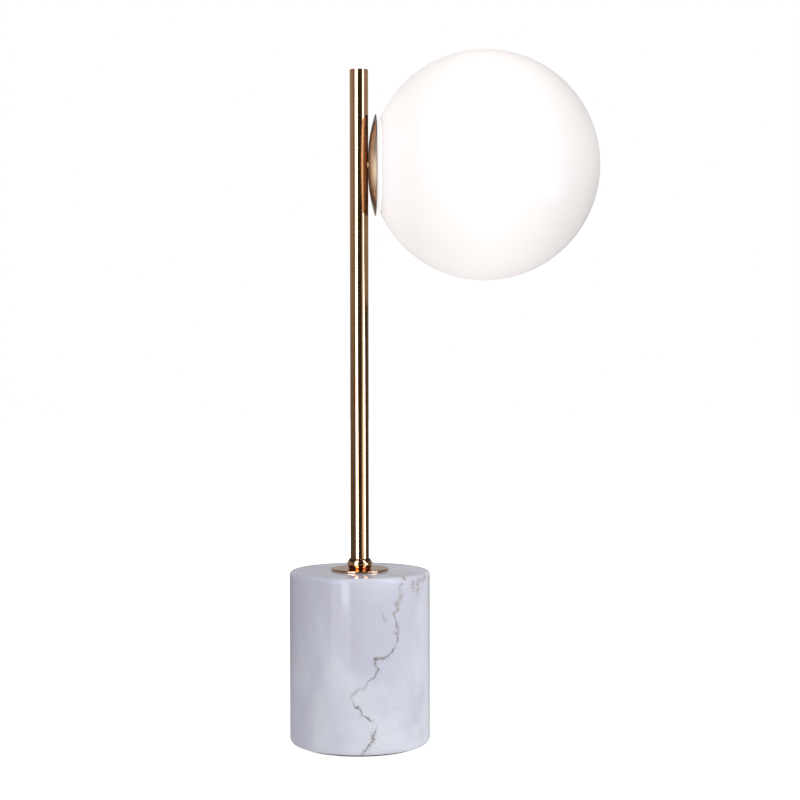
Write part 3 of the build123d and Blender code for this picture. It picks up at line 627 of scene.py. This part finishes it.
def makeMarble():
    # The drum's outline turned round the post's axis. The outside is divided finely, so that the stored distances
    # to the veins follow it closely.
    stone, ease = marble, 0.4 * mm
    corners = [
        (stone["rodHole"], stone["top"], ease),
        (stone["radius"], stone["top"], stone["topEdge"]),
        (stone["radius"], stone["bottom"], stone["bottomEdge"]),
        (stone["lidRecess"], stone["bottom"], ease),
        (stone["lidRecess"], stone["lidRecessTop"], 0),
        (stone["cavityRadius"], stone["lidRecessTop"], ease),
        (stone["cavityRadius"], stone["cavityTop"], 0),
        (stone["rodHole"], stone["cavityTop"], 0),
    ]
    outline = roundedCorners(corners, 10)
    finer = [outline[:1]]
    for start, end in zip(outline, np.roll(outline, -1, axis=0)):
        outside = max(start[0], end[0]) > stone["cavityRadius"] + mm or start[1] > stone["cavityTop"] + mm
        count = max(1, round(np.linalg.norm(end - start) / stone["wallStep"])) if outside else 1
        finer.append(start + (end - start) * np.linspace(0, 1, count + 1)[1:, None])
    drum = turned("marble_drum", np.concatenate(finer)[:-1], 300)
    rear = (0, 1, 0)
    spot = (0, stone["spotDepth"], stone["inletHeight"])
    inlet = (0, stone["inletStart"], stone["inletHeight"])
    cutBy(drum, spot, rear, stone["spotRadius"], stone["spotLength"])
    cutBy(drum, inlet, rear, stone["inletRadius"], stone["inletLength"])
    places = np.empty(len(drum.data.vertices) * 3)
    drum.data.vertices.foreach_get("co", places)
    for name, path in veins.items():
        distance = drum.data.attributes.new(name, "FLOAT", "POINT")
        distance.data.foreach_set("value", veinDistance(places.reshape(-1, 3), path))
    dressed(drum, "marble", "stand", "marble_base", sharp=35)


def makeInletBush():
    # Flanged bush with a softly rounded lip, in the spot face at the rear: an outline turned round its own axis.
    bore, sleeve, flange = 3.6 * mm, 4.9 * mm, 7.2 * mm
    inner, seat, face = 33 * mm, 59.6 * mm, 61.6 * mm
    corners = [
        (bore, inner, 0.3 * mm),
        (sleeve, inner, 0.3 * mm),
        (sleeve, seat, 0),
        (flange, seat, 0),
        (flange, face, 0.9 * mm),
        (bore, face, 0.7 * mm),
    ]
    bush = turned("inlet_bush", roundedCorners(corners, 6), 96)
    # From the post's axis to the one through the rear wall: a quarter turn about X, then up to the inlet.
    quarter = Matrix.Rotation(math.radians(-90), 4, "X")
    bush.data.transform(Matrix.Translation((0, 0, marble["inletHeight"])) @ quarter)
    dressed(bush, "black_plastic", "stand", "cord_inlet_bush")


makePad()
makeMarble()
makeInletBush()
print("base made")


post = {
    "radius": 8 * mm,
    "bore": 6.8 * mm,
    "bottom": 161 * mm,
    "end": 586 * mm,
    "capTop": 587 * mm,
    "capPlug": 6.75 * mm,
    "capDepth": 5 * mm,
    "sideHole": 4.05 * mm,
    "flangeRadius": 25.1 * mm,
    "flangeBottom": 152.4 * mm,
    "flangeTop": 153.8 * mm,
    "collarTop": 162.6 * mm,
    "collarBore": 5.15 * mm,
    "seatRadius": 8.05 * mm,
}


def makePost():
    # The tube's wall and the cap's half section, each turned round the post's axis.
    radius, end, ease = post["radius"], post["end"], 0.12 * mm
    wall = [
        (radius, post["bottom"], 0.2 * mm),
        (radius, end, ease),
        (post["bore"], end, ease),
        (post["bore"], post["bottom"], 0.2 * mm),
    ]
    tube = turned("post_tube_polished", roundedCorners(wall, 3), 192)
    cutBy(tube, (0, 0, headHeight), (1, 0, 0), post["sideHole"], 20 * mm)
    dressed(tube, "polished_brass", "stand", "post_tube")
    plug, depth = post["capPlug"], post["capDepth"]
    half = [
        (0, post["capTop"], 0),
        (radius, post["capTop"], 0.3 * mm),
        (radius, end, ease),
        (plug, end, 0),
        (plug, end - depth, 0.3 * mm),
        (0, end - depth, 0),
    ]
    cap = turned("post_cap_disc", roundedCorners(half, 5, False), 192, closed=False)
    dressed(cap, "polished_brass", "stand", "post_cap")


def circleThrough(first, second, third):
    # The centre is as far from all three points: two equations, one for each pair of neighbours.
    first, second, third = map(np.array, (first, second, third))
    sides = 2 * np.array([second - first, third - second])
    values = [second @ second - first @ first, third @ third - second @ second]
    centre = np.linalg.solve(sides, values)
    return centre, float(np.linalg.norm(first - centre))


def makeFoot():
    # The flange and the ball are outlines turned round the post's axis.
    disc = [
        (post["collarBore"], post["flangeBottom"], 0),
        (post["flangeRadius"], post["flangeBottom"], 0.12 * mm),
        (post["flangeRadius"], post["flangeTop"], 0.7 * mm),
        (post["collarBore"], post["flangeTop"], 0),
    ]
    dressed(turned("foot_flange", roundedCorners(disc, 8), 224), "polished_brass", "stand", "base_flange")
    # The ball's side is one arc through its foot, its widest point and its crown.
    foot, bulge, crown = (9.1 * mm, post["flangeTop"]), (10.8 * mm, 157.8 * mm), (8.5 * mm, post["collarTop"])
    centre, radius = circleThrough(foot, bulge, crown)
    start, end = (math.degrees(math.atan2(p[1] - centre[1], p[0] - centre[0])) for p in (foot, crown))
    side = arcPoints(centre, radius, start, end, 40)
    inside = [
        (post["seatRadius"], post["collarTop"]),
        (post["seatRadius"], post["bottom"]),
        (post["collarBore"], post["bottom"]),
        (post["collarBore"], post["flangeTop"]),
    ]
    ball = turned("ball_foot", np.concatenate([side, inside]), 192)
    dressed(ball, "polished_brass", "stand", "ball_collar")


makePost()
makeFoot()
print("post made")


head = {
    "dishRadius": 44 * mm,
    "dishHub": 8.5 * mm,
    "dishBack": 8.1 * mm,
    "dishRim": 14 * mm,
    "dishWall": 0.8 * mm,
    "dishHole": 4.1 * mm,
    "globeCentre": 109.5 * mm,
    "globeRadius": 100 * mm,
    "globeWall": 3 * mm,
    "mouth": 18.3 * mm,
    "mouthEdge": 0.6 * mm,
    "carrierBack": 8.9 * mm,
    "carrierFront": 14.5 * mm,
    "carrierWall": 1 * mm,
}


def makeDish():
    # A flat hub and an arc that leaves it smoothly and rises to the rim. The arc's radius follows from its reach
    # and its rise: (reach * reach + rise * rise) / (2 * rise). The rim's two edges are rounded.
    hub, wall = head["dishHub"], head["dishWall"]
    reach, rise = head["dishRadius"] - hub, head["dishRim"] - head["dishBack"]
    curve = (reach**2 + rise**2) / (2 * rise)
    sweep = math.degrees(math.asin(reach / curve))
    centre = (head["dishBack"] + curve, hub)
    back = arcPoints(centre, curve, 180, 180 - sweep, 60)
    face = arcPoints(centre, curve - wall, 180 - sweep, 180, 60)
    rim = roundedCorners([(*back[-2], 0), (*back[-1], 0.25 * mm), (*face[0], 0.25 * mm), (*face[1], 0)], 4, False)
    bore = [(centre[0] - curve + wall, head["dishHole"]), (centre[0] - curve, head["dishHole"])]
    outline = np.concatenate([back[:-2], rim, face[2:], bore])[:, ::-1]
    dressed(turned("spun_dish", outline, 256, about="head"), "spun_brass", "stand", "dish")


def makeGlobe():
    # Two circles about one centre, cut at the mouth and joined there by the ground edge.
    outer, inner = head["globeRadius"], head["globeRadius"] - head["globeWall"]
    reach = head["globeCentre"] - head["mouth"]
    outerEnd = 180 - math.degrees(math.acos(reach / outer))
    innerEnd = 180 - math.degrees(math.acos(reach / inner))
    edge = head["mouthEdge"]
    outside = arcPoints((head["globeCentre"], 0), outer, 0, outerEnd - 0.7, 150)[:, ::-1]
    inside = arcPoints((head["globeCentre"], 0), inner, innerEnd - 2.4, 0, 120)[:, ::-1]
    corners = [
        (*outside[-1], 0),
        (math.sqrt(outer**2 - reach**2), head["mouth"], edge),
        (math.sqrt(inner**2 - reach**2), head["mouth"], edge),
        (*inside[0], 0),
    ]
    outline = np.concatenate([outside[:-1], roundedCorners(corners, 5, False), inside[1:]])
    outline[0, 0] = outline[-1, 0] = 0
    globe = turned("opal_globe", outline, 256, about="head", closed=False)
    # The brass mirrors a grey studio where a real globe would show as a glare.
    globe.visible_glossy = False
    dressed(globe, "opal_glass", "globe", "globe")


def makeGasket():
    # A ring of four rounded corners turned round the head's axis.
    inner, outer = 33.6 * mm, 38.5 * mm
    back, face, edge = head["carrierFront"], 18.2 * mm, 0.6 * mm
    outline = roundedCorners([(inner, back, edge), (outer, back, edge), (outer, face, edge), (inner, face, edge)], 5)
    ring = turned("seating_ring", outline, 160, about="head")
    dressed(ring, "white_silicone", "stand", "globe_gasket")


def makeCarrier():
    # Pressed pan: a flat hub, a cone and a flat flange, an even wall thick, with pressed corners.
    back, front, wall = head["carrierBack"], head["carrierFront"], head["carrierWall"]
    bore, hub, cone, rim = 4.1 * mm, 8.3 * mm, 18.6 * mm, 37.5 * mm
    corners = [
        (bore, back, 0.1 * mm),
        (hub, back, 1.6 * mm),
        (cone, front - wall, 1.0 * mm),
        (rim, front - wall, 0.2 * mm),
        (rim, front, 0.2 * mm),
        (cone - 0.6 * mm, front, 1.6 * mm),
        (hub - 0.6 * mm, back + wall, 0.8 * mm),
        (bore, back + wall, 0.1 * mm),
    ]
    pan = turned("clip_pan", roundedCorners(corners, 6), 160, about="head")
    dressed(pan, "zinc_steel", "stand", "spring_carrier")


springs = {
    "route": ((14.5, 24), (14.5, 31.4), (17.3, 31.9), (21.6, 35.8), (30, 28.4), (32, 28.2)),
    "bends": (0, 0.5, 0.9, 1.8, 1.0, 0),
    "width": 7 * mm,
    "thickness": 0.5 * mm,
    "softness": 0.12 * mm,
    "angles": (0, 120, 240),
}


def makeSprings():
    # A strip with softened edges carried along its bent route, then turned round the head's axis to its angle.
    route = np.array(springs["route"]) * mm
    corners = [(x, r, bend * mm) for (x, r), bend in zip(route, springs["bends"])]
    line = roundedCorners(corners, 8, False, guard=0)
    half, thick, soft = springs["width"] / 2, springs["thickness"], springs["softness"]
    section = roundedCorners([(-half, 0, soft), (half, 0, soft), (half, thick, soft), (-half, thick, soft)], 3)
    place, sideways, faces = carried(line, section)
    leaves = []
    for angle in map(math.radians, springs["angles"]):
        # Angles are measured about the head's axis from +Y towards +Z.
        y = place[:, :, 1] * math.cos(angle) - sideways * math.sin(angle)
        z = place[:, :, 1] * math.sin(angle) + sideways * math.cos(angle) + headHeight
        points = np.stack([place[:, :, 0], y, z], axis=2).reshape(-1, 3)
        leaves.append(newPiece("leaf", points, faces))
    dressed(joined("spring_clips", leaves), "spring_steel", "stand", "globe_springs")


makeDish()
makeGlobe()
makeGasket()
makeCarrier()
makeSprings()
print("head made")


bulb = {
    "foot": 36.3 * mm,
    "skirtStart": 41.7 * mm,
    "skirtEnd": 53.3 * mm,
    "radius": 8 * mm,
    "wall": 0.9 * mm,
    "lapGap": 0.05 * mm,
    "coverStart": 50.35 * mm,
    "domeCentre": 76.3 * mm,
    "pinRadius": 0.4 * mm,
    "pinPlaces": (-4.5 * mm, 4.5 * mm),
    "pinReach": 28.5 * mm,
    "pinHalfWidth": 1.1 * mm,
}


def smoothedCopy(node, name, body, finish=None):
    # The CAD piece's own shape, merged and smoothed where its faces meet at a low angle.
    piece = gathered(name, [frame["nodes"][node].data], 1e-6)
    dressed(piece, finish or slotOf[node], body, node)


def makeBulbFoot():
    # Rounded rectangles stacked along the axis, drawn in at both ends to soften the edges, and a turned skirt.
    width, depth, corner, soft = 15 * mm, 8 * mm, 1.2 * mm, 0.35 * mm
    turn = np.radians(np.linspace(0, 90, 5))
    inset = np.concatenate([soft * (1 - np.sin(turn)), soft * (1 - np.cos(turn))])
    start, end = bulb["foot"], bulb["skirtStart"] + 0.3 * mm
    along = np.concatenate([start + soft * (1 - np.cos(turn)), end - soft * (1 - np.sin(turn))])
    loops = []
    for draw, x in zip(inset, along):
        w, d = width / 2 - draw, depth / 2 - draw
        loop = roundedCorners([(w, d, corner), (-w, d, corner), (-w, -d, corner), (w, -d, corner)], 6)
        loops.append(np.column_stack([np.full(len(loop), x), loop[:, 0], loop[:, 1] + headHeight]))
    foot = newPiece("foot", np.concatenate(loops), tubeFaces(len(loops), len(loops[0])))
    radius, neck = bulb["radius"], bulb["radius"] - bulb["wall"]
    lap = neck - bulb["lapGap"]
    start, end = bulb["skirtStart"], bulb["skirtEnd"]
    corners = [
        (0, start, 0),
        (neck, start, 0.4 * mm),
        (radius, start + 1.2 * mm, 0.8 * mm),
        (radius, end - 3 * mm, 0.15 * mm),
        (lap, end - 3 * mm, 0),
        (lap, end, 0.2 * mm),
        (0, end, 0),
    ]
    skirt = turned("skirt", roundedCorners(corners, 5, False), 96, about="head", closed=False)
    dressed(joined("bulb_foot", [foot, skirt]), "bulb_white", "bulb", "bulb_base")


def makeBulbCover():
    # A tube with a dome on its end, both an even wall thick.
    outer, inner = bulb["radius"], bulb["radius"] - bulb["wall"]
    dome = arcPoints((bulb["domeCentre"], 0), outer, 0, 90, 24)[:, ::-1]
    hollow = arcPoints((bulb["domeCentre"], 0), inner, 90, 0, 24)[:, ::-1]
    start = bulb["coverStart"]
    outline = np.concatenate([dome, [(outer, start + 0.1 * mm), (outer - 0.1 * mm, start), (inner, start)], hollow])
    outline[0, 0] = outline[-1, 0] = 0
    dressed(turned("bulb_dome", outline, 96, about="head", closed=False), "clear_cover", "bulb", "bulb_cover")


def makePins():
    # Each pin is a loop of round wire: out along one leg, round a half circle and back along the other.
    reach = bulb["pinReach"] + bulb["pinHalfWidth"]
    bend = arcPoints((reach, 0), bulb["pinHalfWidth"], 270, 90, 16)
    start = bulb["foot"] + 0.4 * mm
    line = np.concatenate([[(start, -bulb["pinHalfWidth"])], bend, [(start, bulb["pinHalfWidth"])]])
    turn = np.linspace(0, 2 * np.pi, 20, endpoint=False)
    section = bulb["pinRadius"] * np.stack([np.sin(turn), -np.cos(turn)], axis=1)
    place, sideways, faces = carried(line, section)
    loops = []
    for y in bulb["pinPlaces"]:
        points = np.stack([place[:, :, 0], y + sideways, place[:, :, 1] + headHeight], axis=2).reshape(-1, 3)
        loops.append(newPiece("loop", points, faces))
    dressed(joined("bulb_wire_pins", loops), "pin_wire", "bulb", "bulb_pins")


makeBulbFoot()
makeBulbCover()
makePins()
smoothedCopy("holder_body", "ceramic_holder", "stand")
smoothedCopy("spring_rivets", "clip_rivets", "stand")
smoothedCopy("side_nipple", "threaded_nipple", "stand", "raw_brass")  # its golden glint shows beside the dish
for lead in ("lead_live", "lead_neutral", "lead_earth"):
    smoothedCopy(lead, lead + "_sleeve", "stand")
print("holder and bulb made")


studio = {
    "viewTurn": 2.5,
    "cameraX": 35.3 * mm,
    "cameraDistance": 1.70,
    "cameraHeight": 362.2 * mm,
    "pitch": 0.02101,
    "roll": -0.00158,
    "focalPixels": 1954.5,
    "framePixels": 800,
    "sensorWidth": 36,
    "shiftPixels": -30,
    "floorSize": 12.0,
    "floorHeight": -0.2 * mm,
    "floorGlow": 0.7,
    "fill": 0.67,
    "fillSide": 45,
    "fillSlope": 0.225,
    "fillRise": 0.13,
    "glossFloor": 0.45,
    "glossTable": 0.40,
    "glossLow": 0.10,
    "glossHigh": 0.40,
    "glossAbove": 0.05,
    "glossHorizon": (-0.12, 0.13),  # sines of the heights between which the mirrored grey changes
    "glossUpper": (0.2, 0.42),
    "glossTableEdge": (-0.24, -0.135),
    "glossFloorEdge": (-0.75, -0.45),
}

# "side" is in degrees round from the camera's side, towards the globe's side.
lights = {
    "key": {"side": 42, "away": 1.75, "height": 0.75, "wide": 1.0, "tall": 1.0, "radiance": 1.45},
    "rear": {"side": -142, "away": 1.3, "height": 0.545, "wide": 1.0, "tall": 0.19, "radiance": 3.0},
}
rearColour = (1.0, 0.94, 0.80)

coolWhite = colourOf(0.82, 1.0, 1.55)  # brass mirrors it as white

# Upright cards round the lamp that only its reflections see: shade, distance, colour and rows. Each row is (height,
# from, to): metres, then degrees from the camera's side round towards the globe's side.
cards = {
    "whiteLeft": (4.4, 1.25, coolWhite, [
        (0, -45, -13), (0.3, -48, -20), (0.5, -48, -20), (0.8, -50, -15), (2.2, -50, -15),
    ]),
    "paleLeft": (2.5, 1.25, white, [(-0.13, -45, -13), (0, -45, -13)]),
    "softbox": (9.0, 1.24, white, [
        (-0.04, -28, -16), (0, -28, -16), (0.3, -32, -22), (0.5, -32, -22), (0.8, -31, -18), (2.2, -31, -18),
    ]),
    "darkFront": (0.035, 1.26, white, [(-0.5, -24, 28), (0, -24, 28), (0.8, -24, 41), (2.2, -24, 41)]),
    "dimRight": (0.8, 1.25, white, [(0, 28, 55), (0.8, 41, 47), (2.2, 41, 47)]),
    "whiteRight": (5.2, 1.25, coolWhite, [(0, 55, 81), (0.32, 53, 75), (0.48, 51, 61), (0.8, 47, 65), (2.2, 47, 67)]),
    "darkRight": (0.07, 1.26, white, [(-0.5, 76, 128), (0, 76, 128), (0.40, 70, 128)]),
    "darkLeft": (0.12, 1.25, white, [(-0.5, -66, -54), (0, -66, -54), (0.8, -78, -68), (2.2, -78, -68)]),
}


def makeCamera():
    # The focal length in pixels, times the sensor's width over the frame's, is the lens in millimetres.
    view = bpy.data.cameras.new("view")
    view.sensor_width = studio["sensorWidth"]
    view.lens = studio["focalPixels"] * view.sensor_width / studio["framePixels"]
    view.shift_y = studio["shiftPixels"] / studio["framePixels"]
    view.clip_start, view.clip_end = 0.05, 60
    camera = placed("camera", view)
    # The lamp's head is turned a little away from the camera, so the camera goes round the post by that much.
    turn = Matrix.Rotation(math.radians(-studio["viewTurn"]), 4, "Z")
    camera.location = turn @ Vector((studio["cameraX"], -studio["cameraDistance"], studio["cameraHeight"]))
    tilt = Matrix.Rotation(math.pi / 2 - studio["pitch"], 4, "X") @ Matrix.Rotation(studio["roll"], 4, "Z")
    camera.rotation_euler = (turn @ tilt).to_euler()
    bpy.context.scene.camera = camera


def makeFloor():
    # White to the camera only: what it would throw on the lamp comes from the surroundings. From below it is clear,
    # so that the lamp's underside shows.
    half = studio["floorSize"] / 2
    mesh = bpy.data.meshes.new("floor")
    corners = [(x * half, y * half, studio["floorHeight"]) for x, y in ((-1, -1), (1, -1), (1, 1), (-1, 1))]
    mesh.from_pydata(corners, [], [(0, 1, 2, 3)])
    floor = placed("floor", mesh)
    recipe = Recipe("floor")
    values = {"Base Color": white, "Roughness": 0.9, "Emission Color": white, "Emission Strength": studio["floorGlow"]}
    above = recipe.node("ShaderNodeBsdfPrincipled", sockets=values)
    below = recipe.node("ShaderNodeBsdfTransparent")
    underside = recipe.node("ShaderNodeNewGeometry", output="Backfacing")
    surface = recipe.node("ShaderNodeMixShader", sockets={0: underside, 1: above, 2: below})
    recipe.node("ShaderNodeOutputMaterial", sockets={"Surface": surface})
    mesh.materials.append(recipe.material)
    floor.visible_diffuse = floor.visible_glossy = floor.visible_shadow = False


def areaLight(name):
    # A soft light that faces the post. Its power is radiance * pi * its area.
    values = lights[name]
    light = bpy.data.lights.new(name, "AREA")
    light.shape, light.size, light.size_y = "RECTANGLE", values["wide"], values["tall"]
    light.energy = values["radiance"] * math.pi * values["wide"] * values["tall"]
    lamp = placed(name, light)
    azimuth = math.radians(values["side"] - studio["viewTurn"])
    out = Vector((math.sin(azimuth), -math.cos(azimuth), 0))
    lamp.location = out * values["away"] + Vector((0, 0, values["height"]))
    lamp.rotation_euler = out.to_track_quat("Z", "Y").to_euler()
    lamp.visible_camera = False
    return lamp


def makeLights():
    # The key light, and a low wide one behind on the left that picks out the dish's hub and nothing else.
    areaLight("key").visible_glossy = False
    rear = areaLight("rear")
    rear.data.color = rearColour
    lit = bpy.data.collections.new("lit_by_rear")
    lit.objects.link(bpy.data.objects["spun_dish"])
    rear.light_linking.receiver_collection = lit


def makeCards():
    # A row's points stand at (sin a, -cos a) * distance, with a in even steps over the row's own span.
    columns = 13
    for name, (shade, away, colour, spans) in cards.items():
        rows = []
        for height, *span in spans:
            angle = np.radians(np.linspace(*span, columns) - studio["viewTurn"])
            around = np.stack([np.sin(angle), -np.cos(angle)], axis=1) * away
            rows.append(np.column_stack([around, np.full(columns, height)]))
        number = np.arange(len(rows) * columns).reshape(-1, columns)
        corners = [number[:-1, :-1], number[:-1, 1:], number[1:, 1:], number[1:, :-1]]
        faces = np.stack(corners, axis=2).reshape(-1, 4)
        mesh = bpy.data.meshes.new(name)
        mesh.from_pydata(np.concatenate(rows).tolist(), [], faces.tolist())
        board = placed(name, mesh)
        recipe = Recipe(name)
        glow = recipe.node("ShaderNodeEmission", sockets={"Color": colour, "Strength": shade})
        recipe.node("ShaderNodeOutputMaterial", sockets={"Surface": glow})
        mesh.materials.append(recipe.material)
        board.visible_camera = board.visible_diffuse = board.visible_shadow = board.visible_transmission = False


def makeSurroundings():
    # White behind the lamp. Its surfaces get a soft fill, strongest from the front right and from above, and its
    # reflections see a grey that is darker below the horizon.
    world = bpy.data.worlds.new("surroundings")
    bpy.context.scene.world = world
    recipe = Recipe("surroundings", world)
    x, y, z = recipe.axes(recipe.node("ShaderNodeTexCoord", output="Generated"))
    side = math.radians(studio["fillSide"] - studio["viewTurn"])
    towardsSide = x * math.sin(side) - y * math.cos(side)
    fill = studio["fill"] + towardsSide * studio["fillSlope"] + z * studio["fillRise"]
    mirrored = z.ramp(*studio["glossHorizon"], studio["glossLow"], studio["glossHigh"])
    mirrored = mirrored + z.ramp(*studio["glossUpper"], 0.0, studio["glossAbove"] - studio["glossHigh"])
    mirrored = mirrored + z.ramp(*studio["glossTableEdge"], studio["glossTable"], 0.0)
    mirrored = mirrored + z.ramp(*studio["glossFloorEdge"], studio["glossFloor"], 0.0)
    strength = fill + recipe.node("ShaderNodeLightPath", output="Is Glossy Ray") * (mirrored - fill)
    strength = strength + recipe.node("ShaderNodeLightPath", output="Is Camera Ray") * (1 - strength)
    background = recipe.node("ShaderNodeBackground", sockets={"Color": white, "Strength": strength})
    recipe.node("ShaderNodeOutputWorld", sockets={"Surface": background})
    bpy.context.scene.view_settings.view_transform = "Standard"


makeCamera()
makeFloor()
makeLights()
makeCards()
makeSurroundings()
print("studio made")
